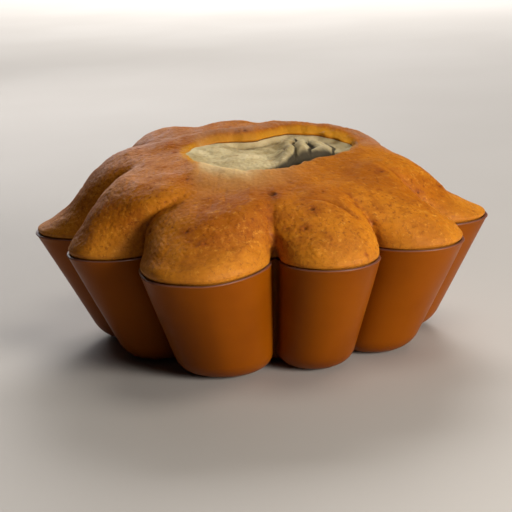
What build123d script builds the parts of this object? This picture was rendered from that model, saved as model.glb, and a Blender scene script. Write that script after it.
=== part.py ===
"""A silicone bundt pan with ten petal flutes, and the cake that was baked in it.

Units are millimetres. +Z is up. The origin is on the pan's axis, on the plane that its ten pads stand on.
Petals are centred on +X and every 36 degrees from it, so a valley faces -Y.
"""

from build123d import *
from math import atan, cos, hypot, pi, radians, sin, tan
import os

# ---- driving dimensions of the pan ----
PETALS = 10
RIM_RADIUS = 110.0  # from the axis to a petal's tip, at the rim
RIM_HEIGHT = 56.0
BASE_RADIUS = 80.4  # where a tip's straight side would meet the base plane, without the bottom round
VALLEY_RATIO = 0.70  # radius of a valley as a share of the tip's
NOSE_RATIO = 0.225  # radius of a petal's round nose as a share of the tip's
BOTTOM_ROUND = 16.8  # outer radius between side and base
WALL = 1.8
RIM_ROUND = 0.6  # on the rim's outer edge
TUBE_TOP_RADIUS = 18.0  # outside of the centre tube, at the rim's height
TUBE_LEAN = 13.0  # degrees from vertical
TUBE_FOOT_ROUND = 28.0  # radius between tube and channel floor, seen from the channel
LIP_ROUND = 0.5  # on the edges of the tube's lip and of the rim's inside

# ---- driving dimensions of the cake ----
CAKE_GAP = 0.15  # between cake and pan
CRUST = 2.2
DOME_HEIGHT = 39.2  # of the risen top above the rim, on the axis
DOME_TILT = 5.0  # degrees: the top rose less on the -Y side
DOME_LEVELS = (  # height as a share of DOME_HEIGHT, tip as a share of RIM_RADIUS, valley as a share of tip
    (0.09, 0.965, 0.71),
    (0.26, 0.895, 0.76),
    (0.46, 0.825, 0.80),
    (0.70, 0.730, 0.83),
    (0.88, 0.625, 0.86),
    (0.96, 0.515, 0.89),
    (1.00, 0.360, 0.92),
)
CRATER_RADIUS = 31.0  # mouth of the torn hollow in the top
CRATER_DEPTH = 6.0

# ---- values worked out from them ----
SIDE_LEAN = atan((RIM_RADIUS - BASE_RADIUS) / RIM_HEIGHT)  # radians from vertical, along a petal's tip
ROUND_CENTRE = BASE_RADIUS + BOTTOM_ROUND * (tan(SIDE_LEAN) - 1 / cos(SIDE_LEAN))
HALF_PITCH = pi / PETALS
CAKE_INSET = WALL + CAKE_GAP
OVERSHOOT = 1.0  # how far a cutting solid passes the surface it cuts
ROUND_STEPS = 5  # sections that shape the bottom round


def polar(radius, angle):
    """A point in the plane, from its distance to the axis and its angle from +X."""
    return Vector(radius * cos(angle), radius * sin(angle))


def tip_radius(height):
    """Radius of the straight side along a petal's tip."""
    return BASE_RADIUS + height * tan(SIDE_LEAN)


def flower(tip, height, inset=0.0, valley_ratio=VALLEY_RATIO):
    """The pan's outline at one height: round noses and round valleys, each arc tangent to the next.

    An inset moves the whole outline inwards by that distance, square to itself.
    """
    nose = NOSE_RATIO * tip
    nose_centre = tip - nose
    valley_tip = valley_ratio * tip
    across = nose_centre * cos(HALF_PITCH)
    valley = (nose**2 - nose_centre**2 - valley_tip**2 + 2 * across * valley_tip) / (
        2 * (valley_tip - across - nose)
    )
    centre_n = polar(nose_centre, 0)
    centre_v = polar(valley_tip + valley, HALF_PITCH)
    touch = centre_n + (centre_v - centre_n).normalized() * (nose - inset)
    touch_radius = hypot(touch.X, touch.Y)
    touch_angle = atan(touch.Y / touch.X)
    arcs = []
    for petal in range(PETALS):
        middle = 2 * HALF_PITCH * petal
        following = middle + 2 * HALF_PITCH
        start = polar(touch_radius, middle - touch_angle)
        end = polar(touch_radius, middle + touch_angle)
        start_of_next = polar(touch_radius, following - touch_angle)
        arcs.append(ThreePointArc(start, polar(tip - inset, middle), end))
        arcs.append(ThreePointArc(end, polar(valley_tip - inset, middle + HALF_PITCH), start_of_next))
    return Pos(0, 0, height) * Wire(arcs)


def bowl(inset, top):
    """Solid inside the pan's outer skin, moved inwards by inset, from its bottom up to a height."""
    radius = BOTTOM_ROUND - inset
    sections = []
    for step in range(ROUND_STEPS + 1):
        turn = (pi / 2 - SIDE_LEAN) * step / ROUND_STEPS
        height = BOTTOM_ROUND - radius * cos(turn)
        reach = ROUND_CENTRE + radius * sin(turn)
        sections.append(flower(tip_radius(height), height, tip_radius(height) - reach))
    side_inset = inset / cos(SIDE_LEAN)
    mouth = flower(tip_radius(top), top, side_inset)
    round_part = Solid.make_loft(sections)
    side_part = Solid.make_loft([sections[-1], mouth], ruled=True)
    return round_part + side_part


def core(inset, top):
    """Solid under the channel's floor and inside the centre tube, from its surface at the same inset.

    An inset of nought is the surface that shows from below, and an inset of WALL is the channel's own.
    """
    lean = radians(TUBE_LEAN)
    grow = inset - WALL
    radius = TUBE_FOOT_ROUND - grow
    centre_z = WALL + TUBE_FOOT_ROUND
    top_radius = TUBE_TOP_RADIUS + grow / cos(lean) + (RIM_HEIGHT - top) * tan(lean)
    # the foot round's centre is one radius away from the tube's side and from the floor
    side_at_centre = top_radius + (top - centre_z) * tan(lean)
    centre_x = side_at_centre + radius / cos(lean)
    side_end = (centre_x - radius * cos(lean), centre_z - radius * sin(lean))
    half_turn = (pi / 2 - lean) / 2 + lean
    halfway = (centre_x - radius * cos(half_turn), centre_z - radius * sin(half_turn))
    foot = (centre_x, inset)
    low = inset - OVERSHOOT
    profile = Wire(
        [
            Line((0, low), (centre_x, low)),
            Line((centre_x, low), foot),
            ThreePointArc(foot, halfway, side_end),
            Line(side_end, (top_radius, top)),
            Line((top_radius, top), (0, top)),
            Line((0, top), (0, low)),
        ]
    )
    return revolve(Plane.XZ * Face(profile), Axis.Z)


def lips(shell):
    """The two level faces at the top of the shell, the tube's small one first."""
    return shell.faces().filter_by(Plane.XY).group_by(Axis.Z)[-1].sort_by(SortBy.AREA)


def pan_shell():
    """One moulding: fluted side, channel and open centre tube, with softened lips."""
    channel = bowl(WALL, RIM_HEIGHT + OVERSHOOT) - core(WALL, RIM_HEIGHT)
    shell = bowl(0, RIM_HEIGHT) - core(0, RIM_HEIGHT + OVERSHOOT) - channel
    shell = fillet(lips(shell)[1].outer_wire().edges(), RIM_ROUND)
    tube_lip, rim = lips(shell)
    return fillet(tube_lip.edges() + rim.inner_wires().edges(), LIP_ROUND)


def dome(inset):
    """The cake above the rim: outlines that shrink, lose depth and tilt as they rise."""
    start = flower(tip_radius(RIM_HEIGHT), RIM_HEIGHT, (CAKE_INSET + inset) / cos(SIDE_LEAN))
    outlines = [start]
    for share, tip_ratio, valley_ratio in DOME_LEVELS:
        outline = flower(tip_ratio * RIM_RADIUS, 0, inset, valley_ratio)
        lift = share * (DOME_HEIGHT - inset)
        outlines.append(Pos(0, 0, RIM_HEIGHT + lift) * Rot(DOME_TILT * share, 0, 0) * outline)
    return Solid.make_loft(outlines)


def cake(inset):
    """The whole cake, or the part of it that lies deeper than inset."""
    baked = CAKE_INSET + inset
    in_pan = bowl(baked, RIM_HEIGHT)
    tube_space = core(baked, RIM_HEIGHT + CAKE_GAP + inset)
    return in_pan + dome(inset) - tube_space


def crater():
    """Ball that scoops the torn hollow out of the top."""
    ball_radius = (CRATER_RADIUS**2 + CRATER_DEPTH**2) / (2 * CRATER_DEPTH)
    top = RIM_HEIGHT + DOME_HEIGHT
    return Pos(0, 0, top) * Rot(DOME_TILT, 0, 0) * Pos(0, 0, ball_radius - CRATER_DEPTH) * Sphere(ball_radius)


def write(name, shape):
    shape.label = name
    export_step(shape, f"parts/{name}.step")


os.makedirs("parts", exist_ok=True)
inside = cake(CRUST)
write("pan_shell", pan_shell())
write("cake_crumb", inside - crater())
write("cake_crust", cake(0) - inside - crater())
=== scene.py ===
"""The bundt pan and the cake baked in it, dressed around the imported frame. Metres, +Z up, front facing -Y.

The pan and the cake share one flower outline: round petals joined by round creases, every arc tangent to the
next. Each surface is a stack of rings on that outline, so a skin is an array of rings x angles x 3.
"""

from math import atan, cos, pi, radians, sin, tan

import bpy
import numpy as np
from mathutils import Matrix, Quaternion, Vector


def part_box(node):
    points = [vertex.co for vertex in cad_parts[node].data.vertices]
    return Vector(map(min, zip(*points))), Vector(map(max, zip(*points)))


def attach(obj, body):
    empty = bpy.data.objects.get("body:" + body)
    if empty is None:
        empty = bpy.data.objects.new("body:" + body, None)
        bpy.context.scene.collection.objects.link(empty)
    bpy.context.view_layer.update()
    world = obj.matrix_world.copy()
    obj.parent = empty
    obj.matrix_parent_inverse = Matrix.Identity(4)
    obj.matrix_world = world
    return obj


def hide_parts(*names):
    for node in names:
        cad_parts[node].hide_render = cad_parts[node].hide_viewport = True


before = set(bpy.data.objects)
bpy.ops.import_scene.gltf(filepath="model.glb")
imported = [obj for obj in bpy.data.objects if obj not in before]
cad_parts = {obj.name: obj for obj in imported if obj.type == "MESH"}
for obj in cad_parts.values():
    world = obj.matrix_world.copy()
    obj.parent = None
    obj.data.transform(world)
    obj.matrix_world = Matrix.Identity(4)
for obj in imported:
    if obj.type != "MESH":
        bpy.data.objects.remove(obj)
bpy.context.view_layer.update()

# ---- sizes worked out from the frame ----
MM = 0.001
pan_low, pan_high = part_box("pan_shell")
RIM_CUT = 0.4 * MM  # what the rim's rounded edge takes off a petal's tip
RIM_RADIUS = pan_high.x + RIM_CUT
RIM_HEIGHT = pan_high.z

# ---- the pan, as in the CAD ----
PETALS = 10
HALF_PITCH = pi / PETALS
BASE_RADIUS = 80.4 * MM  # where a tip's straight side would meet the base plane
VALLEY = 0.70  # radius of a crease's bottom as a share of the tip's
CREASE = 0.0155  # radius of the crease's round as a share of the tip's
BOTTOM_ROUND = 16.8 * MM  # between side and base
WALL = 1.8 * MM
TUBE_TOP = 18.0 * MM  # radius of the centre tube's outside at its lip
TUBE_LEAN = radians(13)  # from vertical
FOOT_ROUND = 28.0 * MM  # between tube and channel floor
CAKE_GAP = 0.15 * MM  # between cake and pan
CAKE_INSET = WALL + CAKE_GAP
LEAN = atan((RIM_RADIUS - BASE_RADIUS) / RIM_HEIGHT)  # of the side along a petal's tip, from vertical
ROUND_CENTRE = BASE_RADIUS + BOTTOM_ROUND * (tan(LEAN) - 1 / cos(LEAN))

# ---- how the soft mould differs from it ----
LIP_ROUND = 0.6 * MM  # height of the half-round lips, in place of the CAD's small fillets
TURNED_CREASES = (  # where each one is, and degrees it is out of place in the pan and high on the cake
    (-126, -3.0, 12.0),
    (-90, 4.0, 4.6),
    (-54, 1.5, 0.5),
)
BENT_PETALS = (  # where each one is, share further out, mm lower
    (-108, 0.055, 2.2),
    (-144, -0.020, 0.0),
    (-72, -0.015, 0.0),
    (180, 0.030, 0.0),
    (0, 0.015, 0.0),
)
WAVER = (150 * MM, 0.4 * MM, 5)  # of the whole side, as a layer of noise: how wide, how far, and the seed

# ---- the cake ----
CRUST = 1.7 * MM
CRUST_SHRINK = 0.10 * MM  # how far inside the cake's plain skin the crust's mean surface lies, everywhere
CRUST_SHRINK_IN_PAN = 0.40 * MM  # and how much further in the pan, in full from 10 mm below the rim
CRUMB_GAP = 0.25 * MM  # between crust and crumb where both are out of sight
CRUMB_SINK = 0.35 * MM  # how far the torn crumb lies under the crust's outer skin
EDGE = CAKE_INSET / cos(LEAN) / RIM_RADIUS  # how far inside the rim's outline the cake starts, in rim radii
DOME = (  # in rim radii: height over the rim, reach at sides and back, and in front; in tips: valley, crease
    (0.000, 1 - EDGE, 1 - EDGE, (VALLEY - EDGE) / (1 - EDGE), (CREASE + EDGE) / (1 - EDGE)),
    (0.005, 0.987, 0.988, 0.706, 0.020),
    (0.014, 0.990, 0.993, 0.710, 0.018),
    (0.032, 0.968, 0.993, 0.726, 0.014),
    (0.060, 0.918, 0.984, 0.754, 0.012),
    (0.110, 0.822, 0.952, 0.792, 0.013),
    (0.162, 0.770, 0.908, 0.826, 0.018),
    (0.225, 0.712, 0.835, 0.850, 0.028),
    (0.278, 0.642, 0.742, 0.880, 0.050),
    (0.307, 0.568, 0.640, 0.915, 0.090),
    (0.324, 0.485, 0.520, 0.950, 0.150),
    (0.341, 0.390, 0.390, 0.980, 0.250),
    (0.344, 0.010, 0.010, 0.998, 0.400),
)
TILT_BACK = tan(radians(6.3))  # the top rises towards the back
TILT_RIGHT = -tan(radians(3.0))  # and falls towards the right
TOP_SHIFT = -0.012 * RIM_RADIUS  # the top stands a little to the left
TILT_HEIGHT = 0.3  # tilt and shift are full from this height over the rim, in rim radii

SPLIT_CENTRE = (0.04 * RIM_RADIUS, -0.05 * RIM_RADIUS)
FOLD_WIDTH = 8.5 * MM  # from one fold of the torn crumb to the next
BIG_PITS = (  # in rim radii: where, and half how wide
    (0.05, -0.57, 0.022),
    (0.21, -0.68, 0.015),
    (0.10, -0.76, 0.010),
    (0.18, -0.78, 0.010),
    (-0.30, -0.80, 0.012),
    (-0.22, -0.88, 0.010),
)
CREASE_CENTRE = (0.22 * RIM_RADIUS, -0.80 * RIM_RADIUS)  # a curved crease in the petal right of the middle
CREASE_RADIUS = 0.197 * RIM_RADIUS
CREASE_WIDTH = 1.0 * MM
CREASE_DEPTH = 1.1 * MM
VALLEY_WIDTH = 0.035  # radians each side that the bottom of a valley is darkened with painted shade
SPLIT_REACH = 0.31  # in rim radii, of the split if it were round
SPLIT_LOBES = ((2, 0.085, 1.2), (3, 0.035, 2.15))  # how it departs from round: lobes, rim radii, radians
LIP_SHARE = 0.97  # where the crust ends, as a share of the split's reach
LIP_THINNER = 0.35  # how much thinner the crust is there, as a share of its thickness
LIP_THINNER_IN_FRONT = 0.45  # and how much thinner still at the front of the split
SPLIT_RAGGED = ((30 * MM, 0.018, 11), (9 * MM, 0.014, 12))  # noise: how wide, share of its reach, seed
SWELL_AT = 1.28  # the raised lip behind the split, as a share of the split's reach
SWELL_WIDTH = 0.20  # also a share
SWELL_HEIGHT = 2.4 * MM
SINK_IN_FRONT = 1.2 * MM  # how far the top sinks into the split
SINK_MORE_BEHIND = 3.3 * MM  # and how much further at its back
SLIT_AT = 0.82  # the dark slit, as a share of the split's reach, like its width
SLIT_WIDTH = 0.15
SLIT_DEPTH = 4.5 * MM
HEAP_HEIGHT = 0.8 * MM  # the crumb that the folds stand on
FOLD_HEIGHT = 3.2 * MM
FOLD_SHADE = 0.24  # painted shade over the whole right side of the crumb, where a slit is 1
CRUST_BUMPS = (  # layers of noise: how wide, how high, and the seed; slow swells, blisters and fine grain
    (46 * MM, 0.75 * MM, 21),
    (14 * MM, 0.14 * MM, 22),
    (5.0 * MM, 0.045 * MM, 23),
    (2.2 * MM, 0.045 * MM, 24),
)
CRUMB_BUMPS = (  # pores and swells
    (3.2 * MM, 0.07 * MM, 42),
    (1.5 * MM, 0.04 * MM, 43),
    (24 * MM, 0.5 * MM, 44),
    (9 * MM, 0.14 * MM, 45),
)
SMALL_PITS = 80
SMALL_PIT = 1.4 * MM  # half width of the widest small one
PIT_DEPTH = 0.42  # of a pit, as a share of its half width
PIT_SEED = 31

# ---- how finely the skins are divided ----
SEGMENTS = 1080  # round the axis
ANGLE = np.arange(SEGMENTS) * 2 * pi / SEGMENTS
DOME_RINGS = 420  # the risen top, before it is cut at the split
TOP_RINGS = 210  # the crust over the rim
CAKE_WALL_RINGS = 56
CAKE_FLOOR_RINGS = 44
CRUMB_RINGS = 90
PAN_WALL_RINGS = 80
PAN_FLOOR_RINGS = 60
TABLE_STEPS = 90  # rows each for the straight side and the bottom round
FOOT_STEPS = 60
LIP_STEPS = 5
TOP_THINNING = 5  # one ring in this many is kept, out of sight
WALL_THINNING = 3
NOISE_WAVES = 28

# ---- colours: red, green, blue and opacity, as light and not as screen values ----
SILICONE_DARK = (0.185, 0.042, 0.0006, 1)
SILICONE_LIGHT = (0.230, 0.055, 0.0008, 1)
SILICONE_SPECK = (0.14, 0.035, 0.004, 1)
# painted sheen: the lavender of the pale surroundings mirrored in the lip's top
SILICONE_LIP_SHEEN = (0.13, 0.060, 0.050, 1)

CRUST_BROWN = (0.33, 0.090, 0.004, 1)
CRUST_GOLD = (0.47, 0.155, 0.008, 1)
CRUST_PATCH = (0.22, 0.048, 0.003, 1)
CRUST_FRECKLE = (0.18, 0.040, 0.004, 1)
CRUST_FLECK = (0.74, 0.32, 0.040, 1)
CRUST_LOW = (0.62, 0.26, 0.030, 1)
CRUST_HIGH = (0.26, 0.075, 0.006, 1)
# browning round the pits, and painted shade at the valley bottoms and in the petal's crease
CRUST_STAIN_AND_SHADE = (0.20, 0.040, 0.005, 1)
CRUST_DULL = (0.56, 0.300, 0.100, 1)
CRUST_PALEST = (0.56, 0.39, 0.185, 1)
# painted sheen: the greyish gloss on the crest behind the split
CRUST_CREST_SHEEN = (0.34, 0.165, 0.090, 1)
CRUST_TORN = (0.46, 0.19, 0.010, 1)
CRUST_PIT = (0.09, 0.022, 0.004, 1)

CRUMB_SHADED = (0.35, 0.265, 0.120, 1)
CRUMB_CREAM = (0.53, 0.43, 0.245, 1)
CRUMB_PORE = (0.20, 0.135, 0.045, 1)
CRUMB_TOASTED = (0.34, 0.17, 0.03, 1)
# painted shade: near black for the shadowed slit
CRUMB_SLIT_SHADE = (0.030, 0.022, 0.012, 1)

FLOOR_DARK = (0.43, 0.40, 0.37, 1)
FLOOR_LIGHT = (0.46, 0.43, 0.40, 1)

# ---- the view and the light ----
CAMERA_AZIMUTH = 1.1  # degrees, like the next two
CAMERA_ELEVATION = 14.1
CAMERA_ROLL = -2.6
CAMERA_DISTANCE = 7.0  # in rim radii, like its aim
CAMERA_AIM = (-0.039, 0.0, 0.348)
CAMERA_LENS = 108  # in mm, like its sensor
CAMERA_SENSOR = 36
LIGHTS = (  # name, place and size in rim radii, watts, colour, and whether it shows as a sheen
    ("window", (-3.2, 8.0, 4.6), 5.0, 2.5, (0.98, 0.98, 1.0), True),
    ("right_front", (5.6, -5.8, 2.6), 3.0, 10.0, (1.0, 0.96, 0.90), True),
    ("overhead", (3.0, -1.0, 7.6), 4.0, 2.2, (1.0, 0.94, 0.84), True),
    ("backdrop", (2.0, 26.0, 14.0), 12.0, 150.0, (1.0, 1.0, 1.0), False),
)
GLOW = 0.012  # of the surroundings, even on all sides
FLOOR_REACH = 60.0  # in rim radii
FLOOR_DROP = 0.2 * MM  # below the lowest point of the pan


# ---- small helpers ----
def fade_in(value, start, end):
    """0 where the value is at the start, 1 where it is at the end, a smooth ramp between and level beyond."""
    share = np.clip((value - start) / (end - start), 0, 1)
    return share * share * (3 - 2 * share)


def noise(points, size, seed):
    """Smooth random field, about -2 to 2, with features about half of size across."""
    random = np.random.default_rng(seed)
    ways = random.normal(size=(NOISE_WAVES, 3))
    ways /= np.linalg.norm(ways, axis=1)[:, None]
    waves = ways * (2 * pi / size) * random.uniform(0.6, 1.4, (NOISE_WAVES, 1))
    starts = random.uniform(0, 2 * pi, NOISE_WAVES)
    total = np.zeros(points.shape[:-1])
    for wave, start in zip(waves, starts):
        total += np.sin(points @ wave + start)
    return total * np.sqrt(2 / NOISE_WAVES)


def layered(points, layers):
    """Layers of noise on top of each other."""
    total = 0
    for size, high, seed in layers:
        total = total + noise(points, size, seed) * high
    return total


def above_rim(points, start, end):
    """0 up to one height over the rim and 1 from another, both in rim radii."""
    over = (points[..., 2] - RIM_HEIGHT) / RIM_RADIUS
    return fade_in(over, start, end)


def normals(skin):
    """Unit normals of a skin, outward for rings that run from the top down the outside."""
    around = np.roll(skin, -1, 1) - np.roll(skin, 1, 1)
    down = np.gradient(skin, axis=0)
    across = np.cross(down, around)
    return across / (np.linalg.norm(across, axis=-1, keepdims=True) + 1e-12)


def place(radius, height):
    """Rings of points from radius and height at every angle."""
    height = np.broadcast_to(height, radius.shape)
    return np.stack([radius * np.cos(ANGLE), radius * np.sin(ANGLE), height], -1)


def pick(table, position):
    """Values between the rows of a table, where position counts rows, for every column."""
    low = np.clip(np.floor(position).astype(int), 0, len(table) - 2)
    share = position - low
    first = np.take_along_axis(table, low, 0)
    second = np.take_along_axis(table, low + 1, 0)
    return first + (second - first) * share


def curve_through(rows, share):
    """A smooth curve through rows of numbers, at shares of its length."""
    rows = np.array(rows)
    steps = np.hypot(np.diff(rows[:, 0]), np.diff(rows[:, 1]))
    at = np.concatenate([[0], np.cumsum(steps)]) / steps.sum()
    slope = np.gradient(rows, at, axis=0)
    low = np.clip(np.searchsorted(at, share, side="right") - 1, 0, len(rows) - 2)
    width = (at[low + 1] - at[low])[:, None]
    part = (share - at[low])[:, None] / width
    part_2, part_3 = part**2, part**3
    return (
        (2 * part_3 - 3 * part_2 + 1) * rows[low]
        + (part_3 - 2 * part_2 + part) * width * slope[low]
        + (3 * part_2 - 2 * part_3) * rows[low + 1]
        + (part_3 - part_2) * width * slope[low + 1]
    )


# ---- the flower outline and the moulding ----
def flower(tip, valley=VALLEY, crease=CREASE, inset=0.0):
    """Radius of the outline at every angle, moved inwards by inset, square to itself."""
    away = np.abs((ANGLE + HALF_PITCH) % (2 * HALF_PITCH) - HALF_PITCH)
    fold = crease * tip
    fold_centre = valley * tip + fold
    along = fold_centre * cos(HALF_PITCH)
    beside = fold_centre * sin(HALF_PITCH)
    nose = (tip**2 + fold_centre**2 - 2 * tip * along - fold**2) / (2 * (tip + fold - along))
    centre = tip - nose
    apart = np.hypot(along - centre, beside)
    nose = nose - inset
    fold = fold + inset
    touch = np.arctan2(nose * beside / apart, centre + nose * (along - centre) / apart)
    on_nose = centre * np.cos(away) + np.sqrt(np.maximum(nose**2 - (centre * np.sin(away)) ** 2, 0))
    back = HALF_PITCH - away
    in_fold = fold_centre * np.cos(back) - np.sqrt(np.maximum(fold**2 - (fold_centre * np.sin(back)) ** 2, 0))
    return np.where(away < touch, on_nose, in_fold)


def wall_table(inset, steps):
    """Radius and height at every angle, down the straight side and round the bottom."""
    round_radius = BOTTOM_ROUND - inset
    side_end = BOTTOM_ROUND - round_radius * sin(LEAN)
    radii, heights = [], []
    for height in np.linspace(RIM_HEIGHT, side_end, steps, endpoint=False):
        radii.append(flower(BASE_RADIUS + height * tan(LEAN), inset=inset / cos(LEAN)))
        heights.append(height)
    for turn in np.linspace(pi / 2 - LEAN, 0, steps):
        height = BOTTOM_ROUND - round_radius * cos(turn)
        tip = BASE_RADIUS + height * tan(LEAN)
        radii.append(flower(tip, inset=tip - ROUND_CENTRE - round_radius * sin(turn)))
        heights.append(height)
    heights = np.repeat(np.array(heights)[:, None], SEGMENTS, 1)
    return np.array(radii), heights


def core_curve(inset):
    """Radius and height from far out on the channel's floor, round the tube's foot and up the tube."""
    grow = inset - WALL
    turn_radius = FOOT_ROUND - grow
    centre_z = WALL + FOOT_ROUND
    top = TUBE_TOP + grow / cos(TUBE_LEAN)
    centre_r = top + (RIM_HEIGHT - centre_z) * tan(TUBE_LEAN) + turn_radius / cos(TUBE_LEAN)
    turn = np.linspace(pi / 2, TUBE_LEAN, FOOT_STEPS)
    radius = np.concatenate([[RIM_RADIUS], centre_r - turn_radius * np.cos(turn), [top]])
    height = np.concatenate([[inset], centre_z - turn_radius * np.sin(turn), [RIM_HEIGHT]])
    return radius, height


def moulding(inset, wall_rings, floor_rings):
    """Skin of the pan's form at an inset: down the wall, over the floor and up the tube."""
    radius, height = wall_table(inset, TABLE_STEPS)
    core_radius, core_height = core_curve(inset)
    floor = np.interp(radius, core_radius[::-1], core_height[::-1])
    over = height - floor
    below = over <= 1e-7
    last = np.argmax(below, axis=0)
    columns = np.arange(SEGMENTS)
    before, after = over[last - 1, columns], over[last, columns]
    end = last - 1 + before / (before - after + 1e-12)
    position = np.linspace(0, 1, wall_rings)[:, None] * end
    wall = place(pick(radius, position), pick(height, position))
    travel = np.concatenate([[0], np.cumsum(np.hypot(np.diff(core_radius), np.diff(core_height)))])
    reach = wall[-1, :, 0] * np.cos(ANGLE) + wall[-1, :, 1] * np.sin(ANGLE)
    start = np.interp(reach, core_radius[::-1], travel[::-1])
    way = start + (travel[-1] - start) * np.linspace(0, 1, floor_rings)[1:, None]
    inner = place(np.interp(way, travel, core_radius), np.interp(way, travel, core_height))
    return np.concatenate([wall, inner])


def give(skin):
    """How the soft mould and its cake are out of true: creases turned, petals longer, shorter or lower."""
    points = skin.copy()
    angle = np.arctan2(points[..., 1], points[..., 0])
    radius = np.hypot(points[..., 0], points[..., 1])
    lift = fade_in(points[..., 2], 0, RIM_HEIGHT)
    outer = fade_in(radius / RIM_RADIUS, 0.30, 0.65)
    turn = np.zeros_like(angle)
    high = above_rim(points, 0.12, 0.32)
    for crease, low_turn, high_turn in TURNED_CREASES:
        away = (angle - radians(crease) + pi) % (2 * pi) - pi
        degrees_round = low_turn + (high_turn - low_turn) * high
        turn += np.radians(degrees_round) * fade_in(np.abs(away), 2 * HALF_PITCH, 0)
    angle = angle + turn * outer
    for petal, reach, sag in BENT_PETALS:
        away = (angle - radians(petal) + pi) % (2 * pi) - pi
        share = fade_in(np.abs(away) / HALF_PITCH, 1.25, 0.25) * outer
        radius = radius * (1 + reach * share)
        points[..., 2] -= sag * MM * share * lift
    waver = layered(skin, [WAVER]) * lift
    points[..., 0] = (radius + waver) * np.cos(angle)
    points[..., 1] = (radius + waver) * np.sin(angle)
    return points


def lip(first, last, steps):
    """Half-round edge between two rings at the same height, bulging up from them."""
    middle, half = (first + last) / 2, (first - last) / 2
    rings = []
    for turn in np.linspace(0, pi, steps + 2)[1:-1]:
        rings.append(middle + half * cos(turn) + np.array([0, 0, LIP_ROUND * sin(turn)]))
    return np.array(rings)


# ---- meshes ----
def add_mesh(name, rings, body, loop=False, first_pole=None, last_pole=None):
    """A mesh object from a stack of rings. loop joins the last ring to the first; a pole closes an end."""
    count = len(rings)
    points = rings.reshape(-1, 3)
    ring, column = np.meshgrid(np.arange(count if loop else count - 1), np.arange(SEGMENTS), indexing="ij")
    after = (ring + 1) % count
    beside = (column + 1) % SEGMENTS
    corners = [
        ring * SEGMENTS + column,
        after * SEGMENTS + column,
        after * SEGMENTS + beside,
        ring * SEGMENTS + beside,
    ]
    faces = np.stack(corners, -1).reshape(-1, 4).tolist()
    columns = np.arange(SEGMENTS)
    beyond = (columns + 1) % SEGMENTS
    if first_pole is not None:
        faces += np.stack([columns, beyond, np.full(SEGMENTS, len(points))], -1).tolist()
        points = np.concatenate([points, [first_pole]])
    if last_pole is not None:
        start = (count - 1) * SEGMENTS
        faces += np.stack([start + beyond, start + columns, np.full(SEGMENTS, len(points))], -1).tolist()
        points = np.concatenate([points, [last_pole]])
    mesh = bpy.data.meshes.new(name)
    mesh.from_pydata(points.tolist(), [], faces)
    mesh.update()
    mesh.shade_smooth()
    piece = bpy.data.objects.new(name, mesh)
    bpy.context.scene.collection.objects.link(piece)
    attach(piece, body)
    return piece


def add_attribute(piece, name, values):
    """One number for each point of a piece, for its material to read."""
    layer = piece.data.attributes.new(name, "FLOAT", "POINT")
    filled = np.zeros(len(piece.data.vertices), np.float32)
    filled[: values.size] = values.ravel()
    layer.data.foreach_set("value", filled)


# ---- the cake's top ----
def dome(rings):
    """The risen top as a dense skin from the rim inwards."""
    share = np.linspace(0, 1, rings)
    rows = curve_through(DOME, share)
    front = fade_in(np.sin(ANGLE), 0.23, -0.97)
    radius, height = [], []
    for rise, side, ahead, valley, crease in rows:
        tip = (side + (ahead - side) * front) * RIM_RADIUS
        radius.append(flower(tip, valley, crease))
        height.append(np.full(SEGMENTS, rise * RIM_RADIUS))
    skin = place(np.array(radius), np.array(height))
    tilt = fade_in(skin[..., 2], 0, TILT_HEIGHT * RIM_RADIUS)
    skin[..., 2] += (skin[..., 1] * TILT_BACK + skin[..., 0] * TILT_RIGHT) * tilt + RIM_HEIGHT
    skin[..., 0] += TOP_SHIFT * tilt
    return skin


def split_share(points):
    """Where a point is across the split in the top: 0 at its middle, 1 on its edge."""
    across = points[..., 0] - SPLIT_CENTRE[0]
    along = points[..., 1] - SPLIT_CENTRE[1]
    way = np.arctan2(along, across)
    reach = SPLIT_REACH
    for lobes, size, start in SPLIT_LOBES:
        reach = reach + size * np.cos(lobes * way - start)
    ragged = layered(points * (1, 1, 0), SPLIT_RAGGED)
    return np.hypot(across, along) / (reach * RIM_RADIUS) + ragged


def shape_top(skin):
    """Raises the split's back lip, sinks the top into the split, and gives each point's place across it."""
    share = split_share(skin)
    behind = fade_in(skin[..., 1] / RIM_RADIUS, -0.12, 0.18)
    swell = np.exp(-(((share - SWELL_AT) / SWELL_WIDTH) ** 2)) * behind * SWELL_HEIGHT
    sink = fade_in(share, 1.10, 0.85) * (SINK_IN_FRONT + SINK_MORE_BEHIND * behind)
    skin[..., 2] += (swell - sink) * above_rim(skin, 0.0, 0.2)
    return share


def petal_crease(points):
    """How deep each point lies in the curved crease of the petal right of the middle, from 0 to 1."""
    across, along = points[..., 0] - CREASE_CENTRE[0], points[..., 1] - CREASE_CENTRE[1]
    from_arc = (np.hypot(across, along) - CREASE_RADIUS) / CREASE_WIDTH
    way = np.degrees(np.arctan2(along, across))
    return np.exp(-(from_arc**2)) * fade_in(way, 25, 50) * fade_in(way, 105, 75)


def valley_line(points):
    """How near each point is to the bottom of a valley between petals, from 0 to 1, fading out high up."""
    from_valley = HALF_PITCH - np.abs((ANGLE + HALF_PITCH) % (2 * HALF_PITCH) - HALF_PITCH)
    return np.exp(-((from_valley / VALLEY_WIDTH) ** 2)) * (1 - above_rim(points, 0.192, 0.312))


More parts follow.
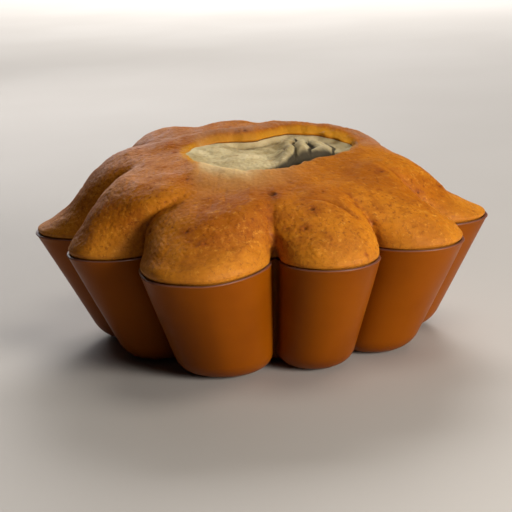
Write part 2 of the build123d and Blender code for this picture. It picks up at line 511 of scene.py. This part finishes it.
def pits(points):
    """Burst bubbles over the crust: how deep each point lies in one, and how browned it is round one."""
    random = np.random.default_rng(PIT_SEED)
    flat = points.reshape(-1, 3)
    depth = np.zeros(len(flat))
    stain_and_shade = np.zeros(len(flat))
    chosen = []
    for index in random.integers(0, len(flat), SMALL_PITS):
        chosen.append((index, random.uniform(0.45, 1.0) ** 3 * SMALL_PIT))
    for across, along, width in BIG_PITS:
        place_at = np.array([across, along]) * RIM_RADIUS
        nearest = np.argmin(np.linalg.norm(flat[:, :2] - place_at, axis=1))
        chosen.append((nearest, width * RIM_RADIUS))
    for index, size in chosen:
        stretch = np.array([1, random.uniform(0.8, 1.6), random.uniform(0.8, 1.6)])
        near = np.flatnonzero(np.abs(flat[:, 0] - flat[index, 0]) < size * 4)
        gap = np.linalg.norm((flat[near] - flat[index]) * stretch, axis=1) / size
        depth[near] = np.maximum(depth[near], fade_in(gap, 1.15, 0.15) * size * PIT_DEPTH)
        stain_and_shade[near] = np.maximum(stain_and_shade[near], fade_in(gap, 3.9, 0.9))
    shape = points.shape[:-1]
    return depth.reshape(shape), stain_and_shade.reshape(shape)


def crumb_relief(points):
    """Height of the torn crumb: pores all over, folds on the right, and a deep slit between folds and crust.

    Also gives the painted shade at each point, from 0 to 1: in the slit and on the face above it, in the
    folds' hollows, and a little all over the right side.
    """
    share = split_share(points)
    way = np.arctan2(points[..., 1] - SPLIT_CENTRE[1], points[..., 0] - SPLIT_CENTRE[0])
    right = fade_in(points[..., 0] / RIM_RADIUS, 0.05, 0.14)
    sector = fade_in(way, -1.75, -1.45) * fade_in(way, 0.35, -0.05)
    slit = np.exp(-(((share - SLIT_AT) / SLIT_WIDTH) ** 2)) * sector
    # painted shade on the slit and the face above it, where shadow falls
    dark = fade_in(share, 0.56, 0.76) * sector
    wander = noise(points * (1, 1, 0), 22 * MM, 41) * 0.7
    folds = np.abs(np.sin(points[..., 0] * pi / FOLD_WIDTH + wander)) ** 0.6
    heap = fade_in(share, 0.80, 0.55) * right
    height = layered(points, CRUMB_BUMPS) + heap * (HEAP_HEIGHT + FOLD_HEIGHT * folds) - slit * SLIT_DEPTH
    in_fold = fade_in(folds, 0.60, 0.15) * fade_in(share, 0.95, 0.75) * right + FOLD_SHADE * right
    return height, np.clip(dark + in_fold, 0, 1)


def thinned(rings):
    """Fewer rings, for the skins where crust and crumb meet out of sight."""
    over_rim = rings[: TOP_RINGS - 1 : TOP_THINNING]
    in_pan = rings[TOP_RINGS - 1 :: WALL_THINNING]
    return np.concatenate([over_rim, in_pan, rings[-1:]])


def split_edge(share):
    """The place along each column of the dome, in rings, where the crust ends at the split."""
    last = np.argmax(share < LIP_SHARE, axis=0)
    columns = np.arange(SEGMENTS)
    before = share[last - 1, columns]
    after = share[last, columns]
    return last - 1 + (before - LIP_SHARE) / (before - after)


def rings_at(skin, position):
    """Rings of a skin at places between its own, where position counts rings, for every column."""
    return np.stack([pick(skin[..., axis], position) for axis in range(3)], -1)


def cake_skin(dense, end):
    """The cake's outside before its bumps: from the split over the rim, down the pan and up the tube."""
    position = np.linspace(1, 0, TOP_RINGS)[:, None] * end
    top = rings_at(dense, position)
    bottom = moulding(CAKE_INSET, CAKE_WALL_RINGS, CAKE_FLOOR_RINGS)
    whole = give(np.concatenate([top, bottom[1:]]))
    over_tube = whole[-1] + np.array([0, 0, CAKE_GAP])
    return np.concatenate([whole, [over_tube]])


def crust_marks(whole):
    """How far the crust stands out from the cake's plain skin, how deep its pits are, how browned it is round
    them, and where painted shade darkens the valleys and the petal's crease.
    """
    above = fade_in(whole[..., 2] - RIM_HEIGHT, 0, 6 * MM)
    below = fade_in(RIM_HEIGHT - whole[..., 2], 0, 10 * MM)
    hollow, stain_and_shade = np.zeros((2, *whole.shape[:-1]))
    hollow[:TOP_RINGS], stain_and_shade[:TOP_RINGS] = pits(whole[:TOP_RINGS])
    crease = petal_crease(whole)
    # painted shade: the valley bottoms and the petal's crease darkened, on top of the real browning round the
    # pits
    stain_and_shade = np.maximum(np.maximum(stain_and_shade, crease), valley_line(whole))
    bumps = (layered(whole, CRUST_BUMPS) - hollow - crease * CREASE_DEPTH) * above
    relief = bumps - (CRUST_SHRINK + CRUST_SHRINK_IN_PAN * below)
    return relief, hollow, stain_and_shade


def crust_depth(whole, relief, share):
    """How far inside the plain skin the crust ends: thinner at the split's edge, most of all in front."""
    near_lip = fade_in(share, 1.12, 1.00)
    near_lip[TOP_RINGS:] = 0
    behind = fade_in(whole[..., 1] / RIM_RADIUS, -0.05, 0.20)
    thickness = CRUST * (1 - near_lip * (LIP_THINNER + LIP_THINNER_IN_FRONT * (1 - behind)))
    return thickness - np.minimum(relief, 0)


def crust_zones(whole, share, hollow, stain_and_shade):
    """Where the crust's colour changes, each from 0 to 1 but the pit's depth, which is in millimetres."""
    across = whole[..., 0] / RIM_RADIUS
    behind = fade_in(whole[..., 1] / RIM_RADIUS, -0.05, 0.20)
    leftward = fade_in(across, 0.30, -0.15) * fade_in(across, -0.52, -0.30)
    torn = np.maximum(behind, fade_in(across, -0.24, -0.32))
    return {
        "dull": fade_in(share, 1.75, 1.00) * (1 - torn) * leftward,
        "lip": fade_in(share, 1.12, 1.02) * torn,
        "crest": fade_in(share, 1.08, 1.20) * fade_in(share, 2.2, 1.6) * behind,
        "pit": hollow / MM,
        # browning round the pits, with painted shade in the valleys and the crease
        "stain_and_shade": stain_and_shade,
        "height": np.clip((whole[..., 2] - RIM_HEIGHT) / (0.35 * RIM_RADIUS), 0, 1),
    }


def make_crust(whole, out, relief, depth, zones):
    """The crust: one closed skin with thickness. Its outside over the rim carries the zones."""
    outer = whole + out * relief[..., None]
    inner = whole - out * depth[..., None]
    inner_rings = thinned(inner)
    shell = np.concatenate([inner_rings[::-1], outer])
    poles = {"first_pole": inner[-1].mean(0), "last_pole": outer[-1].mean(0)}
    crust = add_mesh("cake_crust_baked", shell, "cake", **poles)
    start = len(inner_rings)
    for name, values in zones.items():
        on_shell = np.zeros(shell.shape[:-1])
        on_shell[start : start + TOP_RINGS] = values[:TOP_RINGS]
        add_attribute(crust, name, on_shell)
    return crust


def make_crumb(dense, end, whole, out, depth):
    """The crumb: it fills the crust and shows in the split."""
    outermost = len(dense) - 1
    inwards = np.linspace(1, 0, CRUMB_RINGS)[:, None]
    floor = give(rings_at(dense, end + (outermost - end) * inwards))
    bumps, slit = crumb_relief(floor)
    floor[..., 2] += bumps * fade_in(inwards, 0, 0.10) - CRUMB_SINK
    under = whole - out * (depth + CRUMB_GAP)[..., None]
    body = np.concatenate([floor, thinned(under)])
    poles = {"first_pole": floor[0].mean(0), "last_pole": under[-1].mean(0)}
    crumb = add_mesh("cake_crumb_torn", body, "cake", **poles)
    # the painted shade of the slit, the folds and the right side, for the material
    on_body = np.zeros(body.shape[:-1])
    on_body[: len(floor)] = slit
    add_attribute(crumb, "slit", on_body)
    return crumb


def make_crust_and_crumb():
    """Both layers of the cake, from the same risen top."""
    dense = dome(DOME_RINGS)
    end = split_edge(shape_top(dense))
    whole = cake_skin(dense, end)
    out = normals(whole)
    relief, hollow, stain_and_shade = crust_marks(whole)
    share = split_share(whole)
    depth = crust_depth(whole, relief, share)
    zones = crust_zones(whole, share, hollow, stain_and_shade)
    crust = make_crust(whole, out, relief, depth, zones)
    crumb = make_crumb(dense, end, whole, out, depth)
    return crust, crumb


def make_pan():
    """The silicone mould: outer skin, rim lip, inner skin and the lip of the centre tube."""
    outside = moulding(0.0, PAN_WALL_RINGS, PAN_FLOOR_RINGS)
    inside = moulding(WALL, PAN_WALL_RINGS, PAN_FLOOR_RINGS)
    drop = np.array([0, 0, LIP_ROUND])
    outside[0] -= drop
    outside[-1] -= drop
    inside[0] -= drop
    inside[-1] -= drop
    rim = lip(inside[0], outside[0], LIP_STEPS)
    tube_lip = lip(outside[-1], inside[-1], LIP_STEPS)
    loop = np.concatenate([rim, outside, tube_lip, inside[::-1]])
    pan = add_mesh("pan_moulding", give(loop), "pan", loop=True)
    # the lip: a glossier finish, and a painted sheen in its colour
    on_lip = fade_in(loop[..., 2] - RIM_HEIGHT, -0.7 * MM, -0.2 * MM)
    add_attribute(pan, "lip", on_lip)
    return pan


# ---- materials ----
def new_material(name):
    """A material with its node tree and its shader."""
    made = bpy.data.materials.new(name)
    made.use_nodes = True
    return made, made.node_tree, made.node_tree.nodes["Principled BSDF"]


def feed(tree, made, inputs):
    """Gives each of these inputs of a node its value, or links it to another node's output."""
    for key, value in inputs.items():
        if isinstance(value, bpy.types.NodeSocket):
            tree.links.new(value, made.inputs[key])
        else:
            made.inputs[key].default_value = value


def node(tree, kind, inputs, **settings):
    """A shader node with its settings and inputs."""
    made = tree.nodes.new("ShaderNode" + kind)
    for key, value in settings.items():
        setattr(made, key, value)
    feed(tree, made, inputs)
    return made


def mix(tree, share, first, second):
    """One colour turning into another as share goes from 0 to 1."""
    return node(tree, "Mix", {0: share, 6: first, 7: second}, data_type="RGBA").outputs[2]


def grain(tree, size, detail=3.0, rough=0.55):
    """Noise with features about this size, in metres, fixed to the piece."""
    place_on = node(tree, "TexCoord", {}).outputs["Object"]
    inputs = {"Vector": place_on, "Scale": 1 / size, "Detail": detail, "Roughness": rough}
    return node(tree, "TexNoise", inputs).outputs["Fac"]


def ramp(tree, value, low, high, start=0.0, end=1.0):
    """Value from low to high mapped smoothly to start to end."""
    inputs = {"Value": value, "From Min": low, "From Max": high, "To Min": start, "To Max": end}
    return node(tree, "MapRange", inputs, interpolation_type="SMOOTHSTEP").outputs["Result"]


def read(tree, name):
    """A number that the mesh carries at each point."""
    return node(tree, "Attribute", {}, attribute_name=name).outputs["Fac"]


def maths(tree, operation, first, second):
    """Two values combined by a Math node."""
    return node(tree, "Math", {0: first, 1: second}, operation=operation).outputs[0]


def bump(tree, height, distance):
    """Fine relief, distance deep, for a grain too small to be mesh."""
    return node(tree, "Bump", {"Height": height, "Distance": distance, "Strength": 1.0}).outputs["Normal"]


def silicone():
    """Terracotta silicone: satin, slightly translucent, faintly mottled, with a fine matt grain, and a
    painted lavender sheen on the lip.
    """
    made, tree, shader = new_material("terracotta_silicone")
    cloud = ramp(tree, grain(tree, 45 * MM), 0.3, 0.7)
    base = mix(tree, cloud, SILICONE_DARK, SILICONE_LIGHT)
    speck = ramp(tree, grain(tree, 1.2 * MM, 2), 0.62, 0.75, 0, 0.12)
    base = mix(tree, speck, base, SILICONE_SPECK)
    # painted sheen on the lip, mixed into its colour
    base = mix(tree, maths(tree, "MULTIPLY", read(tree, "lip"), 0.75), base, SILICONE_LIP_SHEEN)
    rough = ramp(tree, grain(tree, 12 * MM), 0.3, 0.7, 0.36, 0.46)
    shine = ramp(tree, read(tree, "lip"), 0.0, 1.0, 0.07, 0.50)
    fine = bump(tree, grain(tree, 0.7 * MM, 2), 0.02 * MM)
    feed(
        tree,
        shader,
        {
            "Base Color": base,
            "Roughness": rough,
            "Normal": fine,
            "Specular IOR Level": shine,
            "Subsurface Weight": 0.10,
            "Subsurface Radius": (1.0, 0.35, 0.12),
            "Subsurface Scale": 2.0 * MM,
        },
    )
    return made


def browned_crust():
    """Golden crust: mottled brown, dark in its pits, pale in front of the split, orange at the torn lip, with
    painted shade in the valleys and the petal's crease and a painted sheen on the crest behind the split.
    """
    made, tree, shader = new_material("browned_crust")
    broad = ramp(tree, grain(tree, 34 * MM, 5, 0.6), 0.36, 0.64)
    base = mix(tree, broad, CRUST_BROWN, CRUST_GOLD)
    patch = ramp(tree, grain(tree, 9 * MM, 6, 0.70), 0.50, 0.64, 0, 0.42)
    base = mix(tree, patch, base, CRUST_PATCH)
    freckle = ramp(tree, grain(tree, 2.0 * MM, 6, 0.8), 0.53, 0.62, 0, 0.80)
    base = mix(tree, freckle, base, CRUST_FRECKLE)
    golden = ramp(tree, grain(tree, 3.0 * MM, 5, 0.8), 0.53, 0.68, 0, 0.48)
    base = mix(tree, golden, base, CRUST_FLECK)
    height = read(tree, "height")
    base = mix(tree, ramp(tree, height, 0.0, 0.45, 0.25, 0), base, CRUST_LOW)
    base = mix(tree, ramp(tree, height, 0.55, 0.90, 0, 0.30), base, CRUST_HIGH)
    patchy = ramp(tree, grain(tree, 3.0 * MM, 4, 0.7), 0.38, 0.62, 0, 0.8)
    # browning round the pits, and painted shade in the valleys and the crease
    patchy_stain_and_shade = maths(tree, "MULTIPLY", read(tree, "stain_and_shade"), patchy)
    base = mix(tree, patchy_stain_and_shade, base, CRUST_STAIN_AND_SHADE)
    dull = read(tree, "dull")
    base = mix(tree, maths(tree, "MULTIPLY", dull, 0.75), base, CRUST_DULL)
    base = mix(tree, ramp(tree, dull, 0.62, 1.0, 0, 0.85), base, CRUST_PALEST)
    # painted sheen on the crest behind the split, in patches
    crest_sheen_patches = ramp(tree, grain(tree, 12 * MM, 5, 0.7), 0.40, 0.60, 0.2, 0.8)
    base = mix(tree, maths(tree, "MULTIPLY", read(tree, "crest"), crest_sheen_patches), base, CRUST_CREST_SHEEN)
    base = mix(tree, read(tree, "lip"), base, CRUST_TORN)
    base = mix(tree, ramp(tree, read(tree, "pit"), 0.05, 0.5, 0, 0.7), base, CRUST_PIT)
    rough = ramp(tree, grain(tree, 9 * MM, 4), 0.3, 0.7, 0.40, 0.58)
    rough = maths(tree, "ADD", rough, maths(tree, "MULTIPLY", dull, 0.12))
    close = bump(tree, grain(tree, 1.1 * MM, 4, 0.7), 0.28 * MM)
    feed(
        tree,
        shader,
        {
            "Base Color": base,
            "Roughness": rough,
            "Normal": close,
            "Specular IOR Level": 0.12,
            "Subsurface Weight": 0.10,
            "Subsurface Radius": (1.0, 0.45, 0.15),
            "Subsurface Scale": 1.6 * MM,
        },
    )
    return made


def pale_crumb():
    """Cream crumb: soft and porous, translucent, with golden crumbs, and painted shade in the slit, in the
    folds and over the right side.
    """
    made, tree, shader = new_material("pale_crumb")
    cloud = ramp(tree, grain(tree, 14 * MM, 4), 0.3, 0.7)
    base = mix(tree, cloud, CRUMB_SHADED, CRUMB_CREAM)
    pores = ramp(tree, grain(tree, 2.0 * MM, 4, 0.7), 0.54, 0.74, 0, 0.30)
    base = mix(tree, pores, base, CRUMB_PORE)
    toasted = ramp(tree, grain(tree, 9 * MM, 3), 0.58, 0.75, 0, 0.35)
    base = mix(tree, toasted, base, CRUMB_TOASTED)
    # painted shade in the slit, the folds' hollows and over the right side
    base = mix(tree, ramp(tree, read(tree, "slit"), 0.0, 0.8, 0, 0.96), base, CRUMB_SLIT_SHADE)
    feed(
        tree,
        shader,
        {
            "Base Color": base,
            "Roughness": 0.85,
            "Normal": bump(tree, grain(tree, 1.3 * MM, 5, 0.7), 0.12 * MM),
            "Specular IOR Level": 0.25,
            "Subsurface Weight": 0.25,
            "Subsurface Radius": (1.0, 0.7, 0.35),
            "Subsurface Scale": 2.0 * MM,
        },
    )
    return made


def pale_floor():
    """A plain warm grey, faintly uneven."""
    made, tree, shader = new_material("pale_floor")
    tone = ramp(tree, grain(tree, 400 * MM, 3), 0.3, 0.7)
    base = mix(tree, tone, FLOOR_DARK, FLOOR_LIGHT)
    feed(tree, shader, {"Base Color": base, "Roughness": 0.7})
    return made


# ---- the studio ----
def make_floor():
    """One big square just under the pan."""
    half = FLOOR_REACH * RIM_RADIUS
    mesh = bpy.data.meshes.new("floor")
    corners = [(-half, -half, 0), (half, -half, 0), (half, half, 0), (-half, half, 0)]
    mesh.from_pydata(corners, [], [(0, 1, 2, 3)])
    floor = bpy.data.objects.new("floor", mesh)
    floor.location.z = pan_low.z - FLOOR_DROP
    bpy.context.scene.collection.objects.link(floor)
    mesh.materials.append(pale_floor())


def add_light(name, place_at, size, power, colour, mirrored):
    """A square soft light, placed in rim radii and aimed at the cake. Unless mirrored, it gives no sheen."""
    data = bpy.data.lights.new(name, "AREA")
    data.size = size * RIM_RADIUS
    data.energy = power
    data.color = colour
    light = bpy.data.objects.new(name, data)
    light.location = Vector(place_at) * RIM_RADIUS
    aim = Vector((0, 0, RIM_HEIGHT)) - light.location
    light.rotation_mode = "QUATERNION"
    light.rotation_quaternion = aim.to_track_quat("-Z", "Y")
    light.visible_glossy = mirrored
    bpy.context.scene.collection.objects.link(light)


def make_camera():
    """The long lens a little above the cake, in front of it."""
    azimuth, elevation = radians(CAMERA_AZIMUTH), radians(CAMERA_ELEVATION)
    back = Vector((sin(azimuth) * cos(elevation), -cos(azimuth) * cos(elevation), sin(elevation)))
    data = bpy.data.cameras.new("camera")
    data.sensor_width = CAMERA_SENSOR
    data.lens = CAMERA_LENS
    camera = bpy.data.objects.new("camera", data)
    camera.location = Vector(CAMERA_AIM) * RIM_RADIUS + back * CAMERA_DISTANCE * RIM_RADIUS
    camera.rotation_mode = "QUATERNION"
    roll = Quaternion((0, 0, 1), radians(CAMERA_ROLL))
    camera.rotation_quaternion = (-back).to_track_quat("-Z", "Y") @ roll
    bpy.context.scene.collection.objects.link(camera)
    bpy.context.scene.camera = camera


def make_studio():
    """The floor, the soft lights, a faint even glow and the camera."""
    bpy.context.scene.view_settings.view_transform = "Standard"
    make_floor()
    for light in LIGHTS:
        add_light(*light)
    world = bpy.data.worlds.new("studio")
    world.use_nodes = True
    background = world.node_tree.nodes["Background"]
    background.inputs["Color"].default_value = (1, 1, 1, 1)
    background.inputs["Strength"].default_value = GLOW
    bpy.context.scene.world = world
    make_camera()


crust, crumb = make_crust_and_crumb()
crust.data.materials.append(browned_crust())
crumb.data.materials.append(pale_crumb())
pan = make_pan()
pan.data.materials.append(silicone())
for piece, cad_node, slot_name in (
    (pan, "pan_shell", "terracotta_silicone"),
    (crust, "cake_crust", "browned_crust"),
    (crumb, "cake_crumb", "pale_crumb"),
):
    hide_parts(cad_node)
make_studio()
